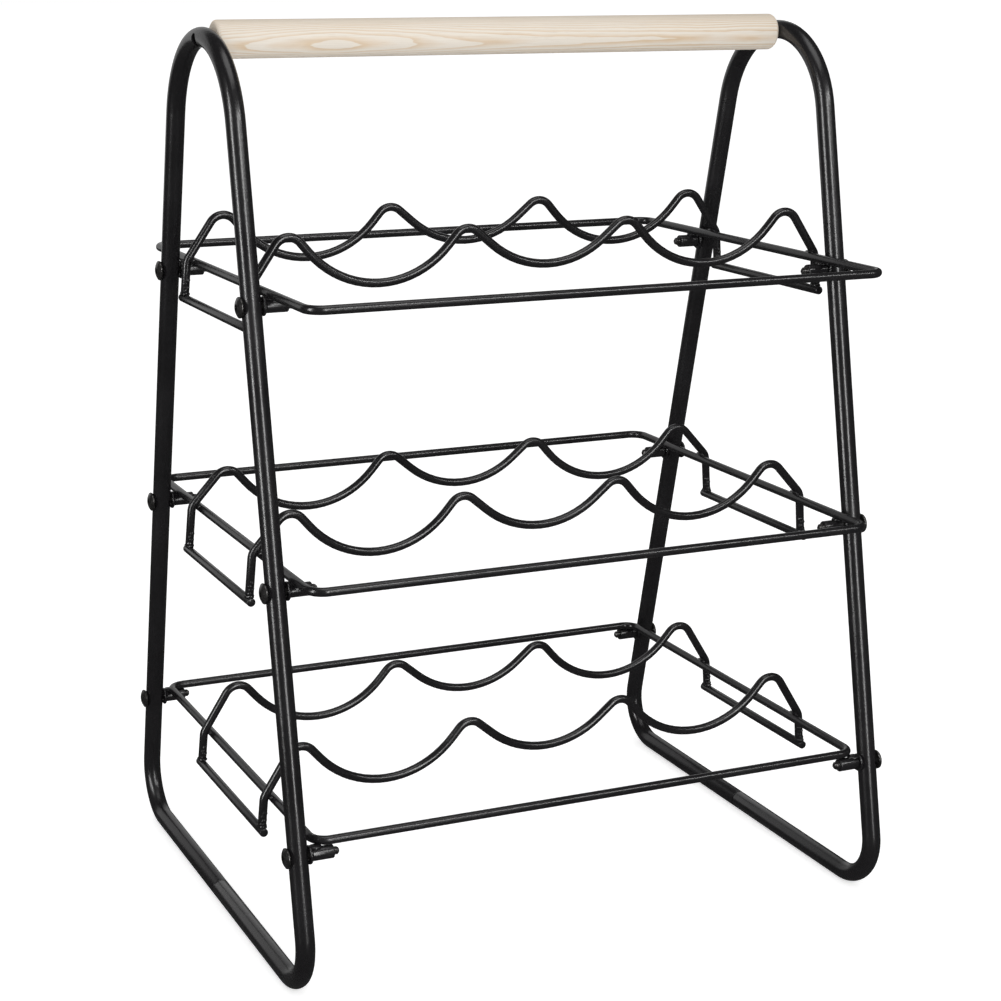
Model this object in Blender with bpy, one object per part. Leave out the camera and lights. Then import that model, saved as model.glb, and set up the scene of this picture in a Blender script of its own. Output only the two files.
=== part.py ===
"""Nine-bottle wine rack: two bent tube side frames, a wooden handle and three wire shelves.

Metres, +Z up. +X runs from the left side frame to the right one, -Y is the front.
The origin is on the floor, in the middle of the rack's box.
"""

import math
from collections import namedtuple

import bmesh
import bpy
from mathutils import Matrix, Vector

# ---- driving dimensions -------------------------------------------------------------------------

FRAME_SPACING = 0.400       # left tube's centre to right tube's centre
RACK_HEIGHT = 0.5625        # floor to the top of the arches
RACK_DEPTH = 0.332          # front to back over the rounded bottom corners
TUBE_DIAMETER = 0.012
TUBE_WALL = 0.0012
ARCH_RADIUS = 0.060         # bend of the tube's centre line at the top
CORNER_RADIUS = 0.030       # bend of the tube's centre line at the floor
SEAM_GAP = 0.0006           # between the tube's two ends
SEAM_POSITION = 0.001       # seam, from the middle of the base bar towards the back
SPIGOT_LENGTH = 0.050

HANDLE_DIAMETER = 0.023
HANDLE_DROP = 0.0015        # dowel's axis below the tube's centre line at the arch
HANDLE_END_RADIUS = 0.0025  # rounding of the dowel's end edges

WIRE_DIAMETER = 0.0055
SHELF_DEPTH = 0.296         # front rail's centre to back rail's centre
SHELF_CORNER_RADIUS = 0.010
WAVE_SPACING = 0.122        # front wave to back wave
OUTER_SEAT_WIDTH = 0.1160   # crest to crest
MIDDLE_SEAT_WIDTH = 0.109
OUTER_SEAT_SINK = 0.0300    # crest to bottom of the seat
MIDDLE_SEAT_SINK = 0.0243
SEAT_RADIUS = 0.060
CREST_RADIUS = 0.010
CREST_RISE = 0.0285         # crest above the shelf frame
SHOULDER_RADIUS = 0.009     # bend from the end slope down to the wave's end, beside the shelf frame
END_SPLAY = math.radians(5) # outward lean of the wave's straight ends
ROD_DROP = 0.0235           # lower rod below the shelf frame
ROD_OVERHANG = 0.005        # lower rod past the wave's centre line

# Name, height of the shelf frame's centre line, and how far above nominal and towards the back
# the waves with their lower rods are welded to it.
Shelf = namedtuple("Shelf", "name height lift shift")
SHELVES = (
    Shelf("top", 0.4145, 0.001, -0.002),
    Shelf("middle", 0.2520, -0.0045, 0.0),
    Shelf("bottom", 0.0985, 0.003, -0.014),
)

SCREW_DIAMETER = 0.005
SCREW_LENGTH = 0.032
SCREW_HEAD_DIAMETER = 0.012
SCREW_HEAD_HEIGHT = 0.0034
SCREW_SOCKET = 0.004        # recess for the hexagon key
SLEEVE_DIAMETER = 0.008
SLEEVE_LENGTH = 0.014
WASHER_DIAMETER = 0.011
WASHER_THICKNESS = 0.0016

WOOD_SCREW_DIAMETER = 0.004
WOOD_SCREW_LENGTH = 0.026
WOOD_SCREW_HEAD_DIAMETER = 0.0055
WOOD_SCREW_HEAD_HEIGHT = 0.0024
WOOD_SCREW_SOCKET = 0.0025
HEAD_ACCESS = 0.0010        # play round the wood screw's head in the tube's outer wall

FIT_GAP = 0.0003            # left between any two pieces that touch or are welded

# ---- fineness of the round shapes ---------------------------------------------------------------

TUBE_SIDES = 12
WIRE_SIDES = 8
SCREW_SIDES = 10
HANDLE_SIDES = 16
HANDLE_END_STEPS = 2

# ---- what follows from the driving dimensions ---------------------------------------------------

TUBE_RADIUS = TUBE_DIAMETER / 2
BORE_RADIUS = TUBE_RADIUS - TUBE_WALL
WIRE_RADIUS = WIRE_DIAMETER / 2
WIRE_CONTACT = WIRE_DIAMETER + FIT_GAP

LEG_INNER_FACE = FRAME_SPACING / 2 - TUBE_RADIUS
LEG_OUTER_FACE = FRAME_SPACING / 2 + TUBE_RADIUS
WASHER_FACE = LEG_INNER_FACE - FIT_GAP
SLEEVE_FACE = WASHER_FACE - WASHER_THICKNESS - FIT_GAP
RAIL_X = SLEEVE_FACE - WIRE_RADIUS
RAIL_Y = SHELF_DEPTH / 2
SLEEVE_DROP = WIRE_RADIUS + FIT_GAP + SLEEVE_DIAMETER / 2
CLEAR_HOLE_RADIUS = SCREW_DIAMETER / 2 + FIT_GAP

CORNER_Y = RACK_DEPTH / 2 - TUBE_RADIUS - CORNER_RADIUS
CORNER_Z = TUBE_RADIUS + CORNER_RADIUS
HANDLE_Z = RACK_HEIGHT - TUBE_RADIUS - HANDLE_DROP
ARCH_Z = RACK_HEIGHT - TUBE_RADIUS - ARCH_RADIUS
LEG_SPAN = math.hypot(CORNER_Y, ARCH_Z - CORNER_Z)
LEG_SPLAY = math.atan2(CORNER_Y, ARCH_Z - CORNER_Z) - math.asin((ARCH_RADIUS - CORNER_RADIUS) / LEG_SPAN)

OUTER_CREST_X = MIDDLE_SEAT_WIDTH / 2 + OUTER_SEAT_WIDTH

SIDES = {"left": -1, "right": 1}
ENDS = {"front": -1, "back": 1}

# ---- materials ----------------------------------------------------------------------------------


def make_material(name, colour, roughness, metallic):
    material = bpy.data.materials.new(name)
    material.use_nodes = True
    shader = material.node_tree.nodes["Principled BSDF"]
    shader.inputs["Base Color"].default_value = (*colour, 1.0)
    shader.inputs["Roughness"].default_value = roughness
    shader.inputs["Metallic"].default_value = metallic
    material.diffuse_color = (*colour, 1.0)
    return material


def make_materials():
    return {
        "powder_coat": make_material("powder_coat", (0.012, 0.011, 0.012), 0.38, 0.0),
        "pine": make_material("pine", (0.62, 0.47, 0.32), 0.55, 0.0),
        "screw_steel": make_material("screw_steel", (0.02, 0.02, 0.021), 0.32, 1.0),
        "plain_steel": make_material("plain_steel", (0.45, 0.44, 0.43), 0.35, 1.0),
    }


# ---- bent stock ---------------------------------------------------------------------------------

# A station is a point on a bent piece's centre line and the direction in which the line runs there.
Station = namedtuple("Station", "point direction")


def arc(centre, radius, start, end, steps):
    """Stations on a bend in a plane, from angle start to angle end, in radians from the first axis."""
    turn = 1 if end > start else -1
    stations = []
    for step in range(steps + 1):
        angle = start + (end - start) * step / steps
        point = Vector((centre[0] + radius * math.cos(angle), centre[1] + radius * math.sin(angle)))
        stations.append(Station(point, Vector((-math.sin(angle), math.cos(angle))) * turn))
    return stations


def add_skin(bm, stations, place, radius, sides, closed):
    """A round skin along the stations; flats lie at the radius, one facing each way across the bends."""
    corner = radius / math.cos(math.pi / sides)
    normal = place((0, 0), 1) - place((0, 0), 0)
    rings = []
    for station in stations:
        origin = place(station.point, 0)
        forward = place(station.point + station.direction, 0) - origin
        across = forward.cross(normal)
        ring = []
        for side in range(sides):
            angle = (side + 0.5) * math.tau / sides
            ring.append(bm.verts.new(origin + (normal * math.cos(angle) + across * math.sin(angle)) * corner))
        rings.append(ring)
    following = rings[1:] + rings[:1] if closed else rings[1:]
    for ring, after in zip(rings, following):
        for side in range(sides):
            other = (side + 1) % sides
            bm.faces.new((ring[side], ring[other], after[other], after[side]))
    return rings[0], rings[-1]


def finish(bm, name, material):
    """Turns a bmesh into a shaded object of its own."""
    bmesh.ops.recalc_face_normals(bm, faces=bm.faces)
    mesh = bpy.data.meshes.new(name)
    bm.to_mesh(mesh)
    bm.free()
    mesh.materials.append(material)
    mesh.shade_smooth()
    mesh.set_sharp_from_angle(angle=math.radians(40))
    piece = bpy.data.objects.new(name, mesh)
    bpy.context.scene.collection.objects.link(piece)
    return piece


def bent_wire(name, stations, place, material, closed=False):
    bm = bmesh.new()
    first, last = add_skin(bm, stations, place, WIRE_RADIUS, WIRE_SIDES, closed)
    if not closed:
        bm.faces.new(first)
        bm.faces.new(last)
    return finish(bm, name, material)


def turned(name, profile, sides, place, material):
    """A turned piece: (distance along its axis, radius) pairs, flats at those radii, ends closed."""
    bm = bmesh.new()
    rings = []
    for along, radius in profile:
        corner = radius / math.cos(math.pi / sides)
        circle = bmesh.ops.create_circle(bm, segments=sides, radius=corner)["verts"]
        turn = Matrix.Rotation(math.pi / sides, 4, "Z")
        bmesh.ops.transform(bm, matrix=place @ Matrix.Translation((0, 0, along)) @ turn, verts=circle)
        rings.append(circle)
    for ring, after in zip(rings, rings[1:]):
        for side in range(sides):
            other = (side + 1) % sides
            bm.faces.new((ring[side], ring[other], after[other], after[side]))
    if profile[0] == profile[-1]:
        bmesh.ops.remove_doubles(bm, verts=rings[0] + rings[-1], dist=1e-6)
    else:
        bm.faces.new(rings[0])
        bm.faces.new(rings[-1])
    return finish(bm, name, material)


def along_x(x, y, z, outward):
    """Placement of a turned piece whose axis runs along X, from x towards the side named by outward."""
    return Matrix.Translation((x, y, z)) @ Matrix.Rotation(outward * math.pi / 2, 4, "Y")


# ---- side frames --------------------------------------------------------------------------------


def leg_y(height):
    """Distance of a leg's centre line from the rack's middle, at a height between the bends."""
    touch_y = CORNER_Y + CORNER_RADIUS * math.cos(LEG_SPLAY)
    touch_z = CORNER_Z + CORNER_RADIUS * math.sin(LEG_SPLAY)
    return touch_y - (height - touch_z) * math.tan(LEG_SPLAY)


def side_frame_stations():
    """From the seam back along the floor, over the arch and round to the seam again."""
    floor = -math.pi / 2
    seam = Vector((SEAM_POSITION, TUBE_RADIUS))
    half_gap = Vector((SEAM_GAP / 2, 0))
    backward = Vector((1, 0))
    stations = [Station(seam + half_gap, backward)]
    stations += arc((CORNER_Y, CORNER_Z), CORNER_RADIUS, floor, LEG_SPLAY, 5)
    stations += arc((0, ARCH_Z), ARCH_RADIUS, LEG_SPLAY, math.pi - LEG_SPLAY, 12)
    stations += arc((-CORNER_Y, CORNER_Z), CORNER_RADIUS, math.pi - LEG_SPLAY, math.pi - floor, 5)
    stations.append(Station(seam - half_gap, backward))
    return stations


def hole_cutter(bm, x_from, x_to, y, z, radius):
    cone = bmesh.ops.create_cone(
        bm, cap_ends=True, segments=SCREW_SIDES, depth=abs(x_to - x_from),
        radius1=radius / math.cos(math.pi / SCREW_SIDES), radius2=radius / math.cos(math.pi / SCREW_SIDES))
    middle = Matrix.Translation(((x_from + x_to) / 2, y, z))
    turn = Matrix.Rotation(math.pi / 2, 4, "Y") @ Matrix.Rotation(math.pi / SCREW_SIDES, 4, "Z")
    bmesh.ops.transform(bm, matrix=middle @ turn, verts=cone["verts"])


def fixing_heights():
    return [shelf.height - SLEEVE_DROP for shelf in SHELVES]


def side_frame(side, material):
    """A hollow tube, bent into a loop, drilled for the shelf screws and for the handle's screw."""
    sign = SIDES[side]
    frame_x = sign * FRAME_SPACING / 2

    def place(point, across):
        return Vector((frame_x + across, point[0], point[1]))

    bm = bmesh.new()
    stations = side_frame_stations()
    outer = add_skin(bm, stations, place, TUBE_RADIUS, TUBE_SIDES, False)
    inner = add_skin(bm, stations, place, BORE_RADIUS, TUBE_SIDES, False)
    for skin, bore in zip(outer, inner):
        for index in range(TUBE_SIDES):
            other = (index + 1) % TUBE_SIDES
            bm.faces.new((skin[index], skin[other], bore[other], bore[index]))
    frame = finish(bm, f"side_frame_{side}", material)

    past = TUBE_RADIUS * 2
    cutters = bmesh.new()
    for height in fixing_heights():
        for end in ENDS.values():
            hole_cutter(cutters, frame_x - past, frame_x + past, end * leg_y(height), height, CLEAR_HOLE_RADIUS)
    screw_hole = WOOD_SCREW_DIAMETER / 2 + FIT_GAP
    head_hole = WOOD_SCREW_HEAD_DIAMETER / 2 + HEAD_ACCESS
    hole_cutter(cutters, frame_x, frame_x - sign * past, 0, HANDLE_Z, screw_hole)
    hole_cutter(cutters, frame_x + sign * BORE_RADIUS / 2, frame_x + sign * past, 0, HANDLE_Z, head_hole)
    cutter = finish(cutters, f"cutter_{side}", material)
    cutter.hide_render = True
    cutter.display_type = "WIRE"
    drilling = frame.modifiers.new("drilling", "BOOLEAN")
    drilling.operation = "DIFFERENCE"
    drilling.solver = "EXACT"
    drilling.object = cutter
    return frame


def frame_joint(side, material):
    """The spigot inside the base bar, which joins the tube's two ends."""

    def place(point, across):
        return Vector((SIDES[side] * FRAME_SPACING / 2 + across, point[0], point[1]))

    radius = BORE_RADIUS - FIT_GAP
    backward = Vector((1, 0))
    half = backward * (SPIGOT_LENGTH / 2)
    seam = Vector((SEAM_POSITION, TUBE_RADIUS))
    bm = bmesh.new()
    first, last = add_skin(
        bm, [Station(seam - half, backward), Station(seam + half, backward)], place, radius, TUBE_SIDES, False)
    bm.faces.new(first)
    bm.faces.new(last)
    return finish(bm, f"frame_joint_{side}", material)


# ---- handle -------------------------------------------------------------------------------------


def handle_screw_seat():
    """Distance from the tube's centre line to the underside of the wood screw's head, inside the bore."""
    head_reach = WOOD_SCREW_HEAD_DIAMETER / 2 + HANDLE_DROP
    return math.sqrt(BORE_RADIUS ** 2 - head_reach ** 2) - FIT_GAP


def handle(material):
    """A dowel between the arches, rounded at its ends, with a pilot hole in each end."""
    half = LEG_INNER_FACE - FIT_GAP
    radius = HANDLE_DIAMETER / 2
    pilot_radius = WOOD_SCREW_DIAMETER / 2 + FIT_GAP
    screw_tip = FRAME_SPACING / 2 - handle_screw_seat() - WOOD_SCREW_LENGTH
    pilot_end = screw_tip - FIT_GAP * 2
    right_end = [(pilot_end, pilot_radius), (half, pilot_radius)]
    for step in range(HANDLE_END_STEPS + 1):
        angle = math.pi / 2 * step / HANDLE_END_STEPS
        right_end.append((
            half - HANDLE_END_RADIUS * (1 - math.cos(angle)),
            radius - HANDLE_END_RADIUS * (1 - math.sin(angle))))
    left_end = [(-along, across) for along, across in reversed(right_end)]
    return turned("handle", right_end + left_end, HANDLE_SIDES, along_x(0, 0, HANDLE_Z, 1), material)


def screw_profile(shank, length, head_diameter, head_height, socket):
    """Tip, shank, domed head and the recess in it, along the axis from the tip."""
    chamfer = shank / 6
    head = head_diameter / 2
    return [
        (0, shank / 2 - chamfer),
        (chamfer, shank / 2),
        (length, shank / 2),
        (length, head),
        (length + head_height * 0.45, head * 0.96),
        (length + head_height, head * 0.62),
        (length + head_height, socket / 2),
        (length + head_height * 0.35, socket / 2),
    ]


def handle_screw(side, material):
    sign = SIDES[side]
    profile = screw_profile(
        WOOD_SCREW_DIAMETER, WOOD_SCREW_LENGTH, WOOD_SCREW_HEAD_DIAMETER, WOOD_SCREW_HEAD_HEIGHT,
        WOOD_SCREW_SOCKET)
    tip_x = sign * (FRAME_SPACING / 2 - handle_screw_seat() - WOOD_SCREW_LENGTH)
    return turned(f"handle_screw_{side}", profile, SCREW_SIDES, along_x(tip_x, 0, HANDLE_Z, sign), material)


# ---- shelves ------------------------------------------------------------------------------------


def shelf_frame(shelf, material):
    """A rod bent into a flat rectangle."""

    def place(point, across):
        return Vector((point[0], point[1], shelf.height + across))

    inner_x = RAIL_X - SHELF_CORNER_RADIUS
    inner_y = RAIL_Y - SHELF_CORNER_RADIUS
    corners = ((inner_x, inner_y), (-inner_x, inner_y), (-inner_x, -inner_y), (inner_x, -inner_y))
    stations = []
    for quarter, centre in enumerate(corners):
        start = quarter * math.pi / 2
        stations += arc(centre, SHELF_CORNER_RADIUS, start, start + math.pi / 2, 3)
    return bent_wire(f"{shelf.name}_shelf_frame", stations, place, material, closed=True)


def seat_slope(width, sink):
    """Steepest slope of a seat whose bottom and crests are arcs joined by straight flanks."""
    bends = SEAT_RADIUS + CREST_RADIUS
    reach = math.hypot(bends - sink, width / 2)
    return math.atan2(width / 2, bends - sink) - math.acos(bends / reach)


def end_slope(shelf):
    """Slope of the line from the outer crest down past the outer side of the shelf frame."""
    across = RAIL_X - OUTER_CREST_X
    up = CREST_RISE + shelf.lift - CREST_RADIUS
    reach = math.hypot(across, up)
    return math.acos((WIRE_CONTACT - CREST_RADIUS) / reach) - math.atan2(across, up)


def shoulder(shelf):
    """Centre of the bend between the end slope and the wave's straight end."""
    slope = end_slope(shelf)
    outward = Vector((math.sin(slope), math.cos(slope)))
    return Vector((RAIL_X, 0)) + outward * (WIRE_CONTACT - SHOULDER_RADIUS)


def rod_centre(shelf):
    """Where the line of the wave's straight end reaches the height of the lower rod."""
    bend_end = shoulder(shelf) + Vector((math.cos(END_SPLAY), math.sin(END_SPLAY))) * SHOULDER_RADIUS
    height = shelf.lift - ROD_DROP
    return Vector((bend_end.x + (bend_end.y - height) * math.tan(END_SPLAY), height))


def wave_stations(shelf):
    """Left end up over the four crests and down to the right end; heights from the shelf frame."""
    up = math.pi / 2
    crest_z = CREST_RISE + shelf.lift
    middle = (MIDDLE_SEAT_WIDTH, MIDDLE_SEAT_SINK)
    outer = (OUTER_SEAT_WIDTH, OUTER_SEAT_SINK)
    slope = end_slope(shelf)
    bend_x, bend_z = shoulder(shelf)
    outward_down = Vector((math.sin(END_SPLAY), -math.cos(END_SPLAY)))
    foot_x, foot_z = rod_centre(shelf) - outward_down * (WIRE_RADIUS + FIT_GAP)
    stations = [Station(Vector((-foot_x, foot_z)), Vector((outward_down.x, -outward_down.y)))]
    stations += arc((-bend_x, bend_z), SHOULDER_RADIUS, math.pi - END_SPLAY, up + slope, 2)
    crest_x = -OUTER_CREST_X
    for width, sink in (outer, middle, outer):
        steepest = seat_slope(width, sink)
        stations += arc((crest_x, crest_z - CREST_RADIUS), CREST_RADIUS, up + slope, up - steepest, 4)
        seat = (crest_x + width / 2, crest_z - sink + SEAT_RADIUS)
        stations += arc(seat, SEAT_RADIUS, -up - steepest, -up + steepest, 5)
        crest_x += width
        slope = steepest
    stations += arc((crest_x, crest_z - CREST_RADIUS), CREST_RADIUS, up + slope, up - end_slope(shelf), 4)
    stations += arc((bend_x, bend_z), SHOULDER_RADIUS, up - end_slope(shelf), END_SPLAY, 2)
    stations.append(Station(Vector((foot_x, foot_z)), outward_down))
    return stations


def wave(shelf, end, material):
    wave_y = shelf.shift + ENDS[end] * WAVE_SPACING / 2

    def place(point, across):
        return Vector((point[0], wave_y + across, shelf.height + point[1]))

    return bent_wire(f"{shelf.name}_{end}_wave", wave_stations(shelf), place, material)


def lower_rod(shelf, side, material):
    """A straight rod under the two waves' ends."""
    rod_x, rod_z = rod_centre(shelf)

    def place(point, across):
        return Vector((SIDES[side] * rod_x + across, point[0], shelf.height + point[1]))

    half = WAVE_SPACING / 2 + ROD_OVERHANG
    backward = Vector((1, 0))
    stations = [Station(Vector((shelf.shift + y, rod_z)), backward) for y in (-half, half)]
    return bent_wire(f"{shelf.name}_{side}_rod", stations, place, material)


# ---- fixings ------------------------------------------------------------------------------------


def ring_profile(outer, bore, length):
    return [(0, bore), (length, bore), (length, outer), (0, outer), (0, bore)]


def fixing(shelf, side, end, materials):
    """The sleeve under the shelf frame, and the washer and the screw that clamp it to a leg."""
    sign = SIDES[side]
    height = shelf.height - SLEEVE_DROP
    y = ENDS[end] * leg_y(height)
    corner = f"{side}_{end}"
    sleeve_end = sign * (SLEEVE_FACE - SLEEVE_LENGTH)
    turned(
        f"{shelf.name}_sleeve_{corner}", ring_profile(SLEEVE_DIAMETER / 2, CLEAR_HOLE_RADIUS, SLEEVE_LENGTH),
        SCREW_SIDES, along_x(sleeve_end, y, height, sign), materials["powder_coat"])
    washer_end = sign * (WASHER_FACE - WASHER_THICKNESS)
    turned(
        f"{shelf.name}_washer_{corner}", ring_profile(WASHER_DIAMETER / 2, CLEAR_HOLE_RADIUS, WASHER_THICKNESS),
        SCREW_SIDES, along_x(washer_end, y, height, sign), materials["powder_coat"])
    tip = sign * (LEG_OUTER_FACE + FIT_GAP - SCREW_LENGTH)
    profile = screw_profile(
        SCREW_DIAMETER, SCREW_LENGTH, SCREW_HEAD_DIAMETER, SCREW_HEAD_HEIGHT, SCREW_SOCKET)
    turned(
        f"{shelf.name}_screw_{corner}", profile, SCREW_SIDES, along_x(tip, y, height, sign),
        materials["screw_steel"])


# ---- the rack -----------------------------------------------------------------------------------


def build_rack():
    for thing in list(bpy.data.objects):
        bpy.data.objects.remove(thing, do_unlink=True)
    materials = make_materials()
    coat = materials["powder_coat"]
    handle(materials["pine"])
    for side in SIDES:
        side_frame(side, coat)
        frame_joint(side, materials["plain_steel"])
        handle_screw(side, materials["screw_steel"])
    for shelf in SHELVES:
        shelf_frame(shelf, coat)
        for end in ENDS:
            wave(shelf, end, coat)
        for side in SIDES:
            lower_rod(shelf, side, coat)
            for end in ENDS:
                fixing(shelf, side, end, materials)


build_rack()
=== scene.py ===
"""Finished look of the nine-bottle wine rack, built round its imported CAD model.

Metres, +Z up. +X runs from the left side frame to the right one, -Y is the front.
"""

import math
from collections import namedtuple

import bmesh
import bpy
from bpy.props import FloatProperty, FloatVectorProperty, PointerProperty
from mathutils import Matrix, Vector, noise


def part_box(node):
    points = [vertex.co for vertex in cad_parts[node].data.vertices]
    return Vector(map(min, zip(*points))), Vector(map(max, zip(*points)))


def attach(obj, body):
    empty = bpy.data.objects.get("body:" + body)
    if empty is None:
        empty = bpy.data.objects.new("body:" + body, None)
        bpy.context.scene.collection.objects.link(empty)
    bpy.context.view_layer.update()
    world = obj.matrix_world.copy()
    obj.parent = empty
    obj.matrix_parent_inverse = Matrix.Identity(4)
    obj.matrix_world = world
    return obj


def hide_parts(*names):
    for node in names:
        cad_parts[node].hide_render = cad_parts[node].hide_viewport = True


bl_info = {
    "name": "Wine Rack",
    "version": (1, 0, 0),
    "blender": (4, 5, 0),
    "location": "3D View > Sidebar > Wine Rack",
    "description": "Coated tube side frames, a pine handle and wavy wire shelves, with their studio",
    "category": "Object",
}

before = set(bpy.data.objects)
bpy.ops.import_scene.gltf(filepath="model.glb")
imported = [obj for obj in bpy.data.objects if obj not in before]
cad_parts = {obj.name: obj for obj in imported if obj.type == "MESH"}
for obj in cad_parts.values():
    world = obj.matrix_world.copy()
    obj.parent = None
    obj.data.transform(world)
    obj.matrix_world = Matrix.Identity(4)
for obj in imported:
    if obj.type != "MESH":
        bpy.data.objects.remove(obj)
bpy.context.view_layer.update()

SIDES = {"left": -1, "right": 1}
ENDS = {"front": -1, "back": 1}
SHELVES = ("top", "middle", "bottom")

# How finely round things are divided.
TUBE_SEGMENTS = 40
WIRE_SEGMENTS = 20
SCREW_SEGMENTS = 48
RING_SEGMENTS = 36
DOWEL_SEGMENTS = 72
HOLE_SEGMENTS = 32
BEND_STEP = math.radians(5)
THREAD_STEPS = 20           # in one turn of a thread
DOME_STEPS = 7              # up a screw head's dome

# Small sizes of the fixings.
PILOT_EDGE = 0.0006         # rounding of the pilot holes in the handle's ends
RING_EDGE = 0.0006          # rounding of the sleeves' and washers' outer edges
WIRE_END_EDGE = 0.0003      # rounding of the waves' cut ends
ROD_END_EDGE = 0.0006       # rounding of the lower rods' sheared ends
WOOD_SCREW_HEAD = 0.0024    # height of the handle screws' heads
WOOD_SCREW_PITCH = 0.0016
WOOD_SCREW_THREAD = 0.020   # length of the thread
SHELF_SCREW_HEAD = 0.0034
SHELF_SCREW_THREAD = 0.016
SLEEVE_BEAD = (0.0085, 0.0072, 0.0030)
BEAD_LUMPS = 900            # lumps of a weld in a metre
BEAD_ROUGHNESS = 0.16       # height of the lumps, as a share of the bead

# The log that the handle was turned from.
GROWTH_RING = 0.0009        # thickness of one year's wood
PITH_BEHIND = 0.030         # from the dowel's axis back to the pith
PITH_ABOVE = 0.0095         # and up to it
PITH_TURN = 0.010           # the pith bends away from the dowel on both sides of the ovals,
PITH_SLOPE = 0.030          # at this slope,
PITH_REACH = 0.0034         # until it is this much further off
OVAL_X = -0.119             # middle of the ovals on the dowel's front
FIRST_OVAL_DEPTH = 0.00037  # innermost oval's ring below the dowel's front

# ---- sizes and colours that a user may change ---------------------------------------------------


def length_property(name, description, default):
    return FloatProperty(
        name=name, description=description, default=default, min=0.0, precision=5, unit="LENGTH")


def colour_property(name, description, default):
    return FloatVectorProperty(
        name=name, description=description, default=default, min=0.0, max=1.0, size=3, subtype="COLOR")


class RackSizes(bpy.types.PropertyGroup):
    """Sizes that the frame's boxes don't give."""

    rack_depth: length_property("Rack depth", "Front to back over the bottom bends", 0.332)
    arch_radius: length_property("Arch radius", "Bend of the tube's centre line at the top", 0.060)
    corner_radius: length_property("Corner radius", "Bend of the tube's centre line at the floor", 0.030)
    tube_wall: length_property("Tube wall", "Thickness of the side frames' tube", 0.0012)
    seam_gap: length_property("Seam gap", "Between the tube's two ends in the base bar", 0.0006)
    seam_position: length_property("Seam position", "Seam behind the middle of the base bar", 0.001)
    handle_end_radius: length_property("Handle end radius", "Rounding of the dowel's end edges", 0.0025)
    shelf_corner_radius: length_property("Shelf corner radius", "Bend of the shelf frame's corners", 0.010)
    outer_seat_width: length_property("Outer seat width", "Crest to crest over an outer seat", 0.116)
    middle_seat_width: length_property("Middle seat width", "Crest to crest over the middle seat", 0.109)
    outer_seat_sink: length_property("Outer seat sink", "Crest to bottom of an outer seat", 0.030)
    middle_seat_sink: length_property("Middle seat sink", "Crest to bottom of the middle seat", 0.0243)
    seat_radius: length_property("Seat radius", "Bend of the wave's wire in a seat", 0.060)
    crest_radius: length_property("Crest radius", "Bend of the wave's wire over a crest", 0.010)
    shoulder_radius: length_property("Shoulder radius", "Bend down to the wave's end", 0.009)
    end_splay: FloatProperty(
        name="End splay", description="Outward lean of the wave's straight ends",
        default=math.radians(5), min=0.0, max=math.radians(30), subtype="ANGLE")
    screw_shank: length_property("Screw shank", "Diameter of the shelf screws", 0.005)
    screw_socket: length_property("Screw socket", "Across the flats of the shelf screws' key recess", 0.004)
    thread_pitch: length_property("Thread pitch", "Pitch of the shelf screws' thread", 0.0008)
    wood_screw_shank: length_property("Wood screw shank", "Diameter of the handle's screws", 0.004)
    wood_screw_socket: length_property("Wood screw socket", "Across the flats of its key recess", 0.0025)
    head_access: length_property("Head access", "Play round the handle screw's head in the tube", 0.001)
    fit_gap: length_property("Fit gap", "Left between pieces that touch", 0.0003)


class RackFinishes(bpy.types.PropertyGroup):
    """Colours of the finishes and of the studio."""

    coat: colour_property("Powder coat", "Satin black coating", (0.0085, 0.008, 0.0088))
    wood_early: colour_property("Pale wood", "Pine between the growth lines", (0.84, 0.775, 0.685))
    wood_late: colour_property("Growth lines", "Pine's darker late wood", (0.70, 0.50, 0.29))
    screw: colour_property("Screws", "Blackened steel", (0.055, 0.053, 0.052))
    steel: colour_property("Spigots", "Plain drawn steel", (0.42, 0.41, 0.40))
    floor: colour_property("Floor", "Pale studio floor", (0.90, 0.90, 0.90))


# ---- materials ----------------------------------------------------------------------------------


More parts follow.
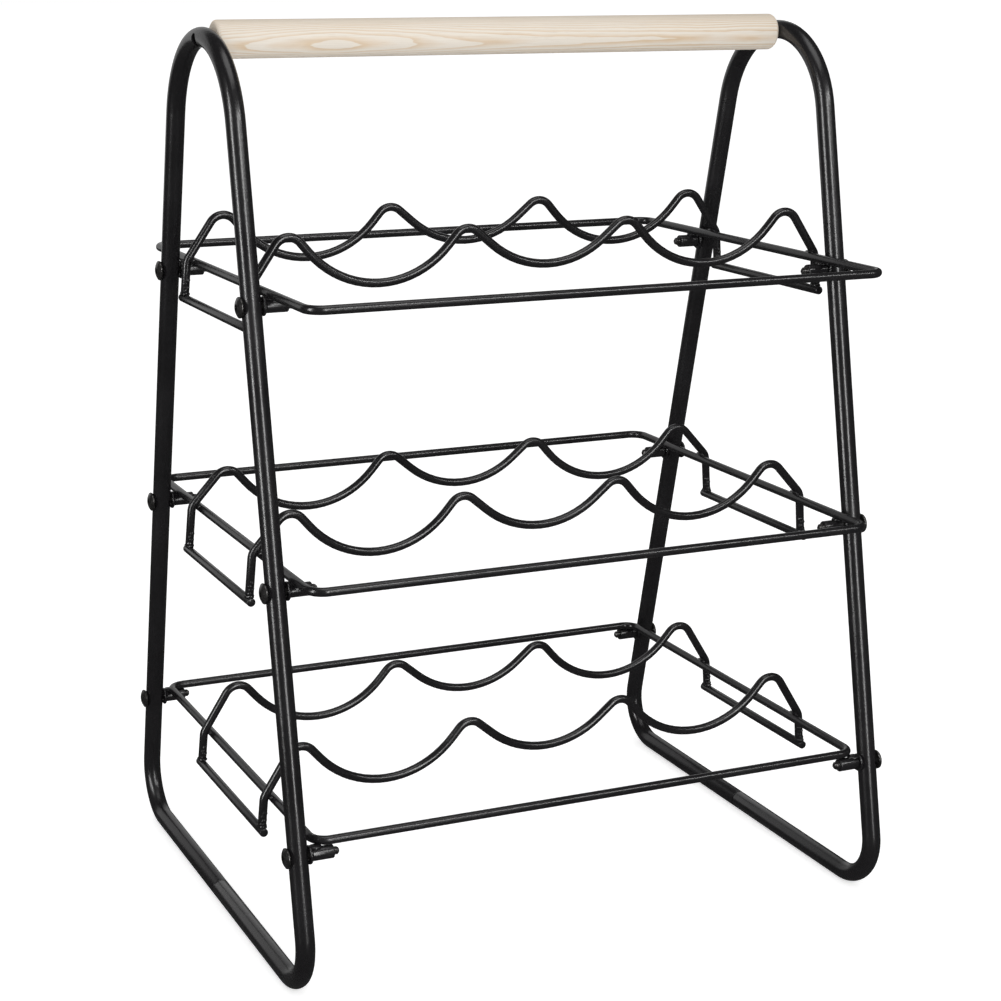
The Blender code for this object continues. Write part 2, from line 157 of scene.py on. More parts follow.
class Shading:
    """A Principled material and the short calls that wire its pattern."""

    def __init__(self, name):
        self.material = bpy.data.materials.new(name)
        self.material.use_nodes = True
        self.tree = self.material.node_tree
        self.shader = self.tree.nodes["Principled BSDF"]
        self.place = self.tree.nodes.new("ShaderNodeTexCoord").outputs["Object"]

    def node(self, kind, **settings):
        made = self.tree.nodes.new(kind)
        for name, value in settings.items():
            setattr(made, name, value)
        return made

    def link(self, source, target):
        self.tree.links.new(source, target)

    def mapped(self, location=(0, 0, 0), scale=(1, 1, 1)):
        mapping = self.node("ShaderNodeMapping")
        mapping.inputs["Location"].default_value = location
        mapping.inputs["Scale"].default_value = scale
        self.link(self.place, mapping.inputs["Vector"])
        return mapping.outputs["Vector"]

    def cloud(self, scale, detail=2.0, roughness=0.5, place=None):
        """Noise between 0 and 1; scale counts its lumps in a metre."""
        texture = self.node("ShaderNodeTexNoise")
        texture.inputs["Scale"].default_value = scale
        texture.inputs["Detail"].default_value = detail
        texture.inputs["Roughness"].default_value = roughness
        self.link(place or self.place, texture.inputs["Vector"])
        return texture.outputs["Fac"]

    def spread(self, value, low, high, start=0.3, end=0.7):
        """Stretches a value from start..end to low..high."""
        ranged = self.node("ShaderNodeMapRange")
        for name, number in zip(("From Min", "From Max", "To Min", "To Max"), (start, end, low, high)):
            ranged.inputs[name].default_value = number
        self.link(value, ranged.inputs["Value"])
        return ranged.outputs["Result"]

    def math(self, operation, *values):
        """A sum on sockets or numbers."""
        made = self.node("ShaderNodeMath", operation=operation)
        for socket, value in zip(made.inputs, values):
            if isinstance(value, bpy.types.NodeSocket):
                self.link(value, socket)
            else:
                socket.default_value = value
        return made.outputs["Value"]

    def ramp(self, value, stops):
        ramp = self.node("ShaderNodeValToRGB")
        while len(ramp.color_ramp.elements) < len(stops):
            ramp.color_ramp.elements.new(0.5)
        for element, (position, colour) in zip(ramp.color_ramp.elements, stops):
            element.position = position
            element.color = (*colour, 1.0)
        self.link(value, ramp.inputs["Fac"])
        return ramp.outputs["Color"]

    def blend(self, colour_a, colour_b, share, blend_type="MIX"):
        mix = self.node("ShaderNodeMix", data_type="RGBA", blend_type=blend_type)
        inputs = {socket.name: socket for socket in mix.inputs if socket.enabled}
        for name, source in (("A", colour_a), ("B", colour_b), ("Factor", share)):
            if isinstance(source, bpy.types.NodeSocket):
                self.link(source, inputs[name])
            elif isinstance(source, tuple):
                inputs[name].default_value = (*source, 1.0)
            else:
                inputs[name].default_value = source
        return next(socket for socket in mix.outputs if socket.enabled)

    def relief(self, layers):
        """Bump from (height, depth in metres) layers, laid one on another."""
        normal = None
        for height, depth in layers:
            bump = self.node("ShaderNodeBump")
            bump.inputs["Strength"].default_value = 1.0
            bump.inputs["Distance"].default_value = depth
            self.link(height, bump.inputs["Height"])
            if normal:
                self.link(normal, bump.inputs["Normal"])
            normal = bump.outputs["Normal"]
        self.link(normal, self.shader.inputs["Normal"])

    def set(self, **numbers):
        for name, number in numbers.items():
            self.shader.inputs[name.replace("_", " ")].default_value = number


def shade(colour, factor):
    return tuple(channel * factor for channel in colour)


def between(first, second, share):
    return tuple(a + (b - a) * share for a, b in zip(first, second))


def coat_material(name, finishes):
    """Satin black powder coat: a fine orange-peel skin with cloudy changes of gloss."""
    look = Shading(name)
    coat = tuple(finishes.coat)
    clouds = look.cloud(26, detail=4)
    specks = look.cloud(1900, detail=2)
    colour = look.ramp(clouds, ((0.3, shade(coat, 0.8)), (0.7, shade(coat, 1.25))))
    dusty = look.ramp(specks, ((0.45, (1, 1, 1)), (0.75, (1.9, 1.9, 1.9))))
    look.link(look.blend(colour, dusty, 1.0, "MULTIPLY"), look.shader.inputs["Base Color"])
    look.link(look.spread(clouds, 0.21, 0.29), look.shader.inputs["Roughness"])
    look.relief(((look.cloud(520, detail=1), 0.00005), (look.cloud(1700, detail=2), 0.00002)))
    look.set(Specular_IOR_Level=0.5)
    return look.material


def pine_material(name, finishes):
    """Flat-sawn pine: the growth rings round a wavy pith behind the dowel close into long ovals."""
    look = Shading(name)
    early = tuple(finishes.wood_early)
    late = tuple(finishes.wood_late)
    low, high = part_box("handle")
    axis_z = (low.z + high.z) / 2
    from_pith = look.node("ShaderNodeSeparateXYZ")
    centred = look.mapped(location=(-OVAL_X, -PITH_BEHIND, -PITH_ABOVE - axis_z))
    look.link(centred, from_pith.inputs["Vector"])
    across, up = from_pith.outputs["Y"], from_pith.outputs["Z"]
    distance = look.math("SQRT", look.math("ADD", look.math("MULTIPLY", across, across),
                                           look.math("MULTIPLY", up, up)))
    along = from_pith.outputs["X"]
    rounded_off = look.math("ADD", look.math("MULTIPLY", along, along), PITH_TURN ** 2)
    run = look.math("SUBTRACT", look.math("SQRT", rounded_off), PITH_TURN)
    bend = look.math("TANH", look.math("MULTIPLY", run, PITH_SLOPE / PITH_REACH))
    wobble = look.spread(look.cloud(1, detail=3, place=look.mapped(scale=(16, 90, 90))), -0.0003, 0.0003)
    bent = look.math("SUBTRACT", wobble, look.math("MULTIPLY", bend, PITH_REACH))
    first_ring = math.hypot(PITH_BEHIND, PITH_ABOVE) + (high.z - low.z) / 2 - FIRST_OVAL_DEPTH
    depth = look.math("SUBTRACT", look.math("ADD", distance, bent), first_ring)
    growth = look.math("FRACT", look.math("DIVIDE", depth, GROWTH_RING))
    rings = look.ramp(growth, (
        (0.0, early), (0.38, early), (0.72, between(early, late, 0.55)), (0.90, late),
        (0.955, late), (1.0, early)))
    strength = look.spread(look.cloud(1, detail=3, place=look.mapped(scale=(7, 60, 60))), 0.45, 1.0)
    grown = look.blend(early, rings, strength)
    fibres = look.cloud(1, detail=4, roughness=0.6, place=look.mapped(scale=(26, 1500, 1500)))
    streaks = look.ramp(fibres, ((0.3, (0.93, 0.915, 0.90)), (0.62, (1.0, 1.0, 1.0))))
    pores = look.cloud(1, detail=1, place=look.mapped(scale=(120, 3200, 3200)))
    pored = look.ramp(pores, ((0.24, (0.84, 0.80, 0.75)), (0.36, (1.0, 1.0, 1.0))))
    colour = look.blend(look.blend(grown, streaks, 1.0, "MULTIPLY"), pored, 0.6, "MULTIPLY")
    look.link(colour, look.shader.inputs["Base Color"])
    look.link(look.spread(fibres, 0.50, 0.66), look.shader.inputs["Roughness"])
    look.relief(((fibres, 0.00008), (pores, 0.00004)))
    look.set(Specular_IOR_Level=0.3)
    return look.material


def screw_material(name, finishes):
    """Blackened steel, rubbed a little brighter in places."""
    look = Shading(name)
    steel = tuple(finishes.screw)
    rubbed = look.cloud(700, detail=3)
    look.link(
        look.ramp(rubbed, ((0.35, shade(steel, 0.7)), (0.68, shade(steel, 2.2)))),
        look.shader.inputs["Base Color"])
    look.link(look.spread(rubbed, 0.34, 0.22), look.shader.inputs["Roughness"])
    look.relief(((look.cloud(2600, detail=2), 0.00002),))
    look.set(Metallic=0.85)
    return look.material


def steel_material(name, finishes):
    """Plain steel, drawn lengthwise along Y."""
    look = Shading(name)
    steel = tuple(finishes.steel)
    lines = look.cloud(1, detail=3, place=look.mapped(scale=(2400, 30, 2400)))
    look.link(
        look.ramp(lines, ((0.3, shade(steel, 0.75)), (0.7, shade(steel, 1.1)))),
        look.shader.inputs["Base Color"])
    look.link(look.spread(lines, 0.25, 0.42), look.shader.inputs["Roughness"])
    look.relief(((lines, 0.00002),))
    look.set(Metallic=1.0)
    return look.material


def floor_material(finishes):
    """Matt white studio board with a faint tooth."""
    look = Shading("studio_floor")
    board = tuple(finishes.floor)
    mottle = look.cloud(3, detail=4)
    look.link(
        look.ramp(mottle, ((0.3, shade(board, 0.985)), (0.7, board))), look.shader.inputs["Base Color"])
    look.link(look.spread(mottle, 0.75, 0.85), look.shader.inputs["Roughness"])
    look.relief(((look.cloud(900, detail=2), 0.00003),))
    look.set(Specular_IOR_Level=0.1, Emission_Color=(1.0, 1.0, 1.0, 1.0))
    path = look.node("ShaderNodeLightPath")
    glow = look.math("MULTIPLY", path.outputs["Is Camera Ray"], FLOOR_GLOW)
    look.link(glow, look.shader.inputs["Emission Strength"])
    dark = look.node("ShaderNodeEmission")
    dark.inputs["Strength"].default_value = FLOOR_IN_GLOSS
    mixed = look.node("ShaderNodeMixShader")
    look.link(path.outputs["Is Glossy Ray"], mixed.inputs["Fac"])
    look.link(look.shader.outputs["BSDF"], mixed.inputs[1])
    look.link(dark.outputs["Emission"], mixed.inputs[2])
    look.link(mixed.outputs["Shader"], look.tree.nodes["Material Output"].inputs["Surface"])
    return look.material


# Each slot's material name, and the function that makes it.
MATERIALS = {
    "powder_coat": ("powder_coat_finish", coat_material),
    "pine": ("pine_finish", pine_material),
    "screw_steel": ("screw_finish", screw_material),
    "plain_steel": ("plain_steel_finish", steel_material),
}


def finish_of(slot):
    """The material of one of the record's slots, made the first time it is asked for."""
    name, make = MATERIALS[slot]
    return bpy.data.materials.get(name) or make(name, bpy.context.scene.rack_finishes)


# ---- working with bmesh -------------------------------------------------------------------------


def rim(verts):
    """The edges that join the vertices of one ring."""
    ring = set(verts)
    edges = {edge for vert in verts for edge in vert.link_edges}
    return [edge for edge in edges if ring.issuperset(edge.verts)]


def to_mesh(bm, name):
    mesh = bpy.data.meshes.new(name)
    bm.to_mesh(mesh)
    bm.free()
    return mesh


def show(bm, name, slot, *nodes, crease=35):
    """Makes a piece of the bmesh; it stands for the CAD nodes and takes its finish from the slot."""
    bmesh.ops.recalc_face_normals(bm, faces=bm.faces)
    mesh = to_mesh(bm, name)
    mesh.materials.append(finish_of(slot))
    mesh.shade_smooth()
    mesh.set_sharp_from_angle(angle=math.radians(crease))
    piece = bpy.data.objects.new(name, mesh)
    bpy.context.scene.collection.objects.link(piece)
    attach(piece, "root")
    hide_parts(*nodes)


def cut(bm, cutter):
    """The bmesh with the cutter's bodies taken out of it."""
    pair = []
    for role, shape in (("stock", bm), ("cutter", cutter)):
        bmesh.ops.recalc_face_normals(shape, faces=shape.faces)
        thing = bpy.data.objects.new(role, to_mesh(shape, role))
        bpy.context.scene.collection.objects.link(thing)
        pair.append(thing)
    stock, tool = pair
    drilling = stock.modifiers.new("drilling", "BOOLEAN")
    drilling.operation = "DIFFERENCE"
    drilling.solver = "EXACT"
    drilling.object = tool
    evaluated = stock.evaluated_get(bpy.context.evaluated_depsgraph_get())
    result = bmesh.new()
    result.from_mesh(evaluated.to_mesh())
    evaluated.to_mesh_clear()
    for thing in pair:
        mesh = thing.data
        bpy.data.objects.remove(thing, do_unlink=True)
        bpy.data.meshes.remove(mesh)
    return result


# A bend in a plane: the ring turns about centre, at radius, from the angle start to the angle end.
Bend = namedtuple("Bend", "centre radius start end")


class Plane:
    """The flat that a piece is bent in: an origin and its two directions."""

    def __init__(self, origin, across, up):
        self.origin = Vector(origin)
        self.across = Vector(across)
        self.up = Vector(up)
        self.normal = self.across.cross(self.up)

    def point(self, flat):
        return self.origin + self.across * flat[0] + self.up * flat[1]

    def on_bend(self, bend, angle):
        reach = Vector((math.cos(angle), math.sin(angle))) * bend.radius
        return self.point(Vector(bend.centre) + reach)


def extrude_to(bm, ring, move):
    extruded = bmesh.ops.extrude_edge_only(bm, edges=rim(ring))["geom"]
    moved = [item for item in extruded if isinstance(item, bmesh.types.BMVert)]
    bmesh.ops.translate(bm, verts=moved, vec=move)
    return moved


def bend_stock(bm, plane, start, bends, end, radius, segments):
    """A round skin from start through the bends to end, points of the plane; gives its two end rings."""
    here = plane.point(start)
    heading = (plane.on_bend(bends[0], bends[0].start) - here).normalized()
    turn = Matrix((plane.normal, heading.cross(plane.normal), heading)).transposed().to_4x4()
    ring = bmesh.ops.create_circle(
        bm, segments=segments, radius=radius, matrix=Matrix.Translation(here) @ turn)["verts"]
    first = ring
    for bend in bends:
        ring = extrude_to(bm, ring, plane.on_bend(bend, bend.start) - here)
        angle = bend.end - bend.start
        spun = bmesh.ops.spin(
            bm, geom=ring + rim(ring), cent=plane.point(bend.centre), axis=plane.normal, angle=angle,
            steps=max(2, math.ceil(abs(angle) / BEND_STEP)))
        ring = [item for item in spun["geom_last"] if isinstance(item, bmesh.types.BMVert)]
        here = plane.on_bend(bend, bend.end)
    return first, extrude_to(bm, ring, plane.point(end) - here)


def close_end(bm, ring, rounding):
    """Caps a ring and breaks its edge."""
    edges = rim(ring)
    bmesh.ops.edgeloop_fill(bm, edges=edges)
    bmesh.ops.bevel(bm, geom=edges, offset=rounding, segments=2, profile=0.5, affect="EDGES", material=-1)


def turn_profile(bm, profile, place, segments, closed=False):
    """Turns (along the axis, radius) points round the placement's Z axis."""
    verts = [bm.verts.new((radius, 0, along)) for along, radius in profile]
    chain = list(zip(verts, verts[1:]))
    if closed:
        chain.append((verts[-1], verts[0]))
    edges = [bm.edges.new(pair) for pair in chain]
    before = set(bm.verts) - set(verts)
    bmesh.ops.spin(
        bm, geom=verts + edges, cent=(0, 0, 0), axis=(0, 0, 1), angle=math.tau, steps=segments,
        use_merge=True)
    turned = [vert for vert in bm.verts if vert not in before]
    bmesh.ops.remove_doubles(bm, verts=turned, dist=1e-6)
    turned = [vert for vert in bm.verts if vert not in before]
    bmesh.ops.transform(bm, matrix=place, verts=turned)


def along_x(x, y, z, outward):
    """Placement of a turned piece whose axis runs along X, towards the side named by outward."""
    return Matrix.Translation((x, y, z)) @ Matrix.Rotation(outward * math.pi / 2, 4, "Y")


def rounded(corner_along, corner_radius, rounding, start, end, steps=4):
    """Profile points round a corner, whose arc runs from the angle start to the angle end."""
    points = []
    for step in range(steps + 1):
        angle = start + (end - start) * step / steps
        points.append((
            corner_along + rounding * math.sin(angle), corner_radius + rounding * math.cos(angle)))
    return points


# ---- side frames --------------------------------------------------------------------------------


class SideFrame:
    """The lines that a side frame's tube is bent to."""

    def __init__(self, side, sizes):
        low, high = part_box(f"side_frame_{side}")
        self.x = (low.x + high.x) / 2
        self.tube_radius = (high.x - low.x) / 2
        self.corner = Vector((
            sizes.rack_depth / 2 - self.tube_radius - sizes.corner_radius,
            self.tube_radius + sizes.corner_radius))
        self.arch = Vector((0, high.z - self.tube_radius - sizes.arch_radius))
        rise = self.arch.y - self.corner.y
        span = math.hypot(self.corner.x, rise)
        self.splay = (
            math.atan2(self.corner.x, rise)
            - math.asin((sizes.arch_radius - sizes.corner_radius) / span))

    def bends(self, sizes):
        floor = -math.pi / 2
        far_leg = math.pi - self.splay
        return (
            Bend(self.corner, sizes.corner_radius, floor, self.splay),
            Bend(self.arch, sizes.arch_radius, self.splay, far_leg),
            Bend((-self.corner.x, self.corner.y), sizes.corner_radius, far_leg, math.pi - floor))


def drill(bm, x_from, x_to, y, z, radius):
    place = Matrix.Translation(((x_from + x_to) / 2, y, z)) @ Matrix.Rotation(math.pi / 2, 4, "Y")
    bmesh.ops.create_cone(
        bm, cap_ends=True, segments=HOLE_SEGMENTS, radius1=radius, radius2=radius,
        depth=abs(x_to - x_from), matrix=place)


def build_side_frame(side, sizes):
    """A hollow tube bent into a loop, with its seam in the base bar and its holes drilled."""
    sign = SIDES[side]
    lines = SideFrame(side, sizes)
    plane = Plane((lines.x, 0, 0), (0, 1, 0), (0, 0, 1))
    bends = lines.bends(sizes)
    start = (sizes.seam_position + sizes.seam_gap / 2, lines.tube_radius)
    end = (sizes.seam_position - sizes.seam_gap / 2, lines.tube_radius)
    bore = lines.tube_radius - sizes.tube_wall
    bm = bmesh.new()
    rings = bend_stock(bm, plane, start, bends, end, lines.tube_radius, TUBE_SEGMENTS)
    bmesh.ops.recalc_face_normals(bm, faces=bm.faces)
    bmesh.ops.solidify(bm, geom=bm.faces[:], thickness=sizes.tube_wall)
    for ring in rings:
        bmesh.ops.bevel(
            bm, geom=rim(ring), offset=sizes.tube_wall / 3, segments=3, profile=0.5, affect="EDGES",
            material=-1)

    past = lines.tube_radius * 2
    cutter = bmesh.new()
    for shelf in SHELVES:
        for end_name in ENDS:
            low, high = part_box(f"{shelf}_screw_{side}_{end_name}")
            middle = (low + high) / 2
            radius = sizes.screw_shank / 2 + sizes.fit_gap
            drill(cutter, lines.x - past, lines.x + past, middle.y, middle.z, radius)
    low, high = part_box(f"handle_screw_{side}")
    axis_z = (low.z + high.z) / 2
    access = (high.z - low.z) / 2 + sizes.head_access
    drill(cutter, lines.x, lines.x - sign * past, 0, axis_z, sizes.wood_screw_shank / 2 + sizes.fit_gap)
    drill(cutter, lines.x + sign * bore / 2, lines.x + sign * past, 0, axis_z, access)
    show(cut(bm, cutter), f"side_frame_{side}_tube", "powder_coat", f"side_frame_{side}")


# ---- handle -------------------------------------------------------------------------------------


def build_handle(sizes):
    """A turned dowel with rounded ends and a pilot hole in each end."""
    low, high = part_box("handle")
    half = (high.x - low.x) / 2
    radius = (high.z - low.z) / 2
    axis_z = (high.z + low.z) / 2
    screw_low, screw_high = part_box("handle_screw_right")
    pilot_end = screw_low.x - sizes.fit_gap * 2
    pilot = sizes.wood_screw_shank / 2 + sizes.fit_gap
    rounding = sizes.handle_end_radius
    end = [(pilot_end, 0), (pilot_end, pilot)]
    end += rounded(half - PILOT_EDGE, pilot + PILOT_EDGE, PILOT_EDGE, math.pi, math.pi / 2)
    end += rounded(half - rounding, radius - rounding, rounding, math.pi / 2, 0, steps=9)
    bm = bmesh.new()
    profile = [(-along, across) for along, across in end] + end[::-1]
    turn_profile(bm, profile, along_x(0, 0, axis_z, 1), DOWEL_SEGMENTS)
    show(bm, "handle_dowel", "pine", "handle", crease=30)


# ---- screws -------------------------------------------------------------------------------------


def add_thread(bm, shank_radius, pitch, tip, end):
    """A thread ridge winding up the shank, its ends run out into the core."""
    turns = int((end - tip) / pitch)
    ridge = bmesh.ops.create_circle(
        bm, segments=3, radius=pitch * 0.5,
        matrix=Matrix.Translation((shank_radius - pitch * 0.25, 0, tip)) @ Matrix.Rotation(
            math.pi / 2, 4, "X") @ Matrix.Rotation(-math.pi / 2, 4, "Z"))["verts"]
    spun = bmesh.ops.spin(
        bm, geom=ridge + rim(ridge), cent=(0, 0, 0), axis=(0, 0, 1), dvec=(0, 0, pitch / THREAD_STEPS),
        angle=turns * math.tau, steps=turns * THREAD_STEPS)
    last = [item for item in spun["geom_last"] if isinstance(item, bmesh.types.BMVert)]
    for ring in (ridge, last):
        bmesh.ops.edgeloop_fill(bm, edges=rim(ring))


def screw_shape(shank, length, head_radius, head_height, socket, thread_pitch, thread_length):
    """A button-head screw with a hexagon socket, standing on its tip along Z."""
    core = shank / 2 - thread_pitch * 0.3
    chamfer = shank / 6
    edge = head_height * 0.28
    profile = [(0, 0), (0, core - chamfer), (chamfer, core), (thread_length, core)]
    profile += [(thread_length + thread_pitch / 2, shank / 2), (length, shank / 2)]
    profile += [(length, head_radius - edge * 0.5)]
    profile += rounded(length + edge, head_radius - edge, edge, -math.pi * 0.4, math.pi * 0.2)
    for step in range(1, DOME_STEPS + 1):
        angle = math.pi / 2 * (0.25 + 0.75 * step / DOME_STEPS)
        across = head_radius * math.cos(angle)
        profile.append((
            length + edge + (head_height - edge) * math.sin(angle) ** 1.4, max(across, 0)))
    profile[-1] = (length + head_height, 0)
    bm = bmesh.new()
    turn_profile(bm, profile, Matrix(), SCREW_SEGMENTS)
    key = bmesh.new()
    depth = head_height * 0.65
    bmesh.ops.create_cone(
        key, cap_ends=True, segments=6, radius1=socket / math.sqrt(3), radius2=socket / math.sqrt(3) * 1.02,
        depth=depth * 2, matrix=Matrix.Translation((0, 0, length + head_height)))
    bm = cut(bm, key)
    add_thread(bm, shank / 2 - thread_pitch * 0.15, thread_pitch, chamfer, thread_length)
    bmesh.ops.recalc_face_normals(bm, faces=bm.faces)
    return bm


def place_shape(shape, name, slot, node, place):
    copy = shape.copy()
    bmesh.ops.transform(copy, matrix=place, verts=copy.verts)
    show(copy, name, slot, node, crease=32)


def build_screws(sizes):
    """The handle's two wood screws and the twelve shelf screws."""
    low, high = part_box("handle_screw_right")
    wood_screw = screw_shape(
        sizes.wood_screw_shank, high.x - low.x - WOOD_SCREW_HEAD, (high.z - low.z) / 2,
        WOOD_SCREW_HEAD, sizes.wood_screw_socket, WOOD_SCREW_PITCH, WOOD_SCREW_THREAD)
    low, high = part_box("top_screw_right_front")
    shelf_screw = screw_shape(
        sizes.screw_shank, high.x - low.x - SHELF_SCREW_HEAD, (high.z - low.z) / 2,
        SHELF_SCREW_HEAD, sizes.screw_socket, sizes.thread_pitch, SHELF_SCREW_THREAD)
    for side, sign in SIDES.items():
        low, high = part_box(f"handle_screw_{side}")
        tip = low.x if sign > 0 else high.x
        place = along_x(tip, (low.y + high.y) / 2, (low.z + high.z) / 2, sign)
        place_shape(wood_screw, f"handle_screw_{side}_fine", "screw_steel", f"handle_screw_{side}", place)
        for shelf in SHELVES:
            for turn, end in enumerate(ENDS):
                node = f"{shelf}_screw_{side}_{end}"
                low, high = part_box(node)
                tip = low.x if sign > 0 else high.x
                # Each screw stopped at its own turn when it was tightened.
                twist = Matrix.Rotation(SHELVES.index(shelf) * 0.7 + turn * 0.4, 4, "Z")
                place = along_x(tip, (low.y + high.y) / 2, (low.z + high.z) / 2, sign) @ twist
                place_shape(shelf_screw, f"{node}_fine", "screw_steel", node, place)
    wood_screw.free()
    shelf_screw.free()


# ---- sleeves and washers ------------------------------------------------------------------------


def ring_profile(bore, outer, length, edge):
    """A closed profile of a ring with rounded outer edges and a lightly broken bore."""
    break_edge = edge / 2
    points = [(break_edge, bore), (length - break_edge, bore), (length, bore + break_edge)]
    points += rounded(length - edge, outer - edge, edge, math.pi / 2, 0)
    points += rounded(edge, outer - edge, edge, 0, -math.pi / 2)
    points.append((0, bore + break_edge))
    return points


def build_rings(sizes):
    """The sleeve under the shelf frame and the washer against the leg, at each of the twelve fixings."""
    bore = sizes.screw_shank / 2 + sizes.fit_gap
    for part in ("sleeve", "washer"):
        for shelf in SHELVES:
            for side, sign in SIDES.items():
                for end in ENDS:
                    node = f"{shelf}_{part}_{side}_{end}"
                    low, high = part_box(node)
                    inner_face = low.x if sign > 0 else high.x
                    place = along_x(inner_face, (low.y + high.y) / 2, (low.z + high.z) / 2, sign)
                    bm = bmesh.new()
                    profile = ring_profile(bore, (high.z - low.z) / 2, high.x - low.x, RING_EDGE)
                    turn_profile(bm, profile, place, RING_SEGMENTS, closed=True)
                    show(bm, f"{node}_turned", "powder_coat", node)


# ---- shelves ------------------------------------------------------------------------------------


def build_shelf_frame(shelf, sizes):
    """A rod bent into a flat rectangle and closed by a flush weld."""
    low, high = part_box(f"{shelf}_shelf_frame")
    wire = (high.z - low.z) / 2
    radius = sizes.shelf_corner_radius
    reach = Vector((high.x, high.y)) - Vector((wire + radius, wire + radius))
    plane = Plane((0, 0, (low.z + high.z) / 2), (1, 0, 0), (0, 1, 0))
    corners = ((1, 1), (-1, 1), (-1, -1), (1, -1))
    bends = []
    for quarter, (right, back) in enumerate(corners):
        start = quarter * math.pi / 2
        bends.append(Bend((reach.x * right, reach.y * back), radius, start, start + math.pi / 2))
    seam = (reach.x + radius, 0)
    bm = bmesh.new()
    first, last = bend_stock(bm, plane, seam, bends, seam, wire, WIRE_SEGMENTS)
    bmesh.ops.remove_doubles(bm, verts=first + last, dist=1e-5)
    show(bm, f"{shelf}_shelf_frame_wire", "powder_coat", f"{shelf}_shelf_frame")


class WaveLines:
    """The bends of one wave, in its own upright plane; heights are from the floor."""

    def __init__(self, shelf, end, sizes):
        low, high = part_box(f"{shelf}_{end}_wave")
        rail_low, rail_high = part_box(f"{shelf}_shelf_frame")
        rod_low, rod_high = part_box(f"{shelf}_right_rod")
        self.wire = (high.y - low.y) / 2
        self.y = (low.y + high.y) / 2
        self.leg_up = Vector((-math.sin(sizes.end_splay), math.cos(sizes.end_splay)))
        self.rod = Vector(((rod_low.x + rod_high.x) / 2, (rod_low.z + rod_high.z) / 2))
        self.foot = self.rod + self.leg_up * (self.wire + sizes.fit_gap)
        self.rail = Vector((rail_high.x - self.wire, (rail_low.z + rail_high.z) / 2))
        self.contact = self.wire * 2 + sizes.fit_gap
        self.crest_z = high.z - self.wire
        self.outer_crest = Vector((
            sizes.middle_seat_width / 2 + sizes.outer_seat_width, self.crest_z - sizes.crest_radius))
        across, up = self.rail.x - self.outer_crest.x, self.outer_crest.y - self.rail.y
        self.slope = (
            math.acos((self.contact - sizes.crest_radius) / math.hypot(across, up)) - math.atan2(across, up))
        self.outward = Vector((math.sin(self.slope), math.cos(self.slope)))

    def bends(self, sizes):
        up = math.pi / 2
        splay = sizes.end_splay
        shoulder = self.rail + self.outward * (self.contact - sizes.shoulder_radius)
        left_shoulder = (-shoulder.x, shoulder.y)
        bends = [Bend(left_shoulder, sizes.shoulder_radius, math.pi - splay, up + self.slope)]
        crest = Vector((-self.outer_crest.x, self.outer_crest.y))
        slope = self.slope
        middle = (sizes.middle_seat_width, sizes.middle_seat_sink)
        outer = (sizes.outer_seat_width, sizes.outer_seat_sink)
        for width, sink in (outer, middle, outer):
            steepest = seat_slope(width, sink, sizes)
            bends.append(Bend(crest.copy(), sizes.crest_radius, up + slope, up - steepest))
            seat = (crest.x + width / 2, self.crest_z - sink + sizes.seat_radius)
            bends.append(Bend(seat, sizes.seat_radius, -up - steepest, -up + steepest))
            crest.x += width
            slope = steepest
        bends.append(Bend(crest, sizes.crest_radius, up + slope, up - self.slope))
        bends.append(Bend(shoulder, sizes.shoulder_radius, up - self.slope, splay))
        return bends


def seat_slope(width, sink, sizes):
    """Slope of the straight flank between a crest's arc and a seat's arc."""
    bends = sizes.seat_radius + sizes.crest_radius
    reach = math.hypot(bends - sink, width / 2)
    return math.atan2(width / 2, bends - sink) - math.acos(bends / reach)


def build_wave(shelf, end, sizes):
    """A wire with four crests and three seats, whose ends stand on the lower rods."""
    lines = WaveLines(shelf, end, sizes)
    plane = Plane((0, lines.y, 0), (1, 0, 0), (0, 0, 1))
    bm = bmesh.new()
    left_foot = (-lines.foot.x, lines.foot.y)
    ends = bend_stock(
        bm, plane, left_foot, lines.bends(sizes), lines.foot, lines.wire, WIRE_SEGMENTS)
    for ring in ends:
        close_end(bm, ring, WIRE_END_EDGE)
    show(bm, f"{shelf}_{end}_wave_wire", "powder_coat", f"{shelf}_{end}_wave")


def build_rod(shelf, side):
    """A straight rod under the waves' ends, its ends sheared square and slightly broken."""
    node = f"{shelf}_{side}_rod"
    low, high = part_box(node)
    radius = (high.z - low.z) / 2
    middle = (low + high) / 2
    bm = bmesh.new()
    place = Matrix.Translation(middle) @ Matrix.Rotation(math.pi / 2, 4, "X")
    bmesh.ops.create_cone(
        bm, cap_ends=True, segments=WIRE_SEGMENTS, radius1=radius, radius2=radius, depth=high.y - low.y,
        matrix=place)
    caps = [face for face in bm.faces if len(face.verts) == WIRE_SEGMENTS]
    edges = [edge for cap in caps for edge in cap.edges]
    bmesh.ops.bevel(
        bm, geom=edges, offset=ROD_END_EDGE, segments=3, profile=0.5, affect="EDGES", material=-1)
    show(bm, f"{node}_wire", "powder_coat", node)


# ---- welds --------------------------------------------------------------------------------------


def add_bead(bm, centre, size, turn=Matrix()):
    """A lumpy bead of weld, as large as size along its own three axes."""
    place = Matrix.Translation(centre) @ turn @ Matrix.Diagonal((*size, 1.0))
    verts = bmesh.ops.create_icosphere(bm, subdivisions=3, radius=0.5, matrix=place)["verts"]
    for vert in verts:
        outward = (vert.co - Vector(centre)).normalized()
        vert.co += outward * noise.noise(vert.co * BEAD_LUMPS) * min(size) * BEAD_ROUGHNESS


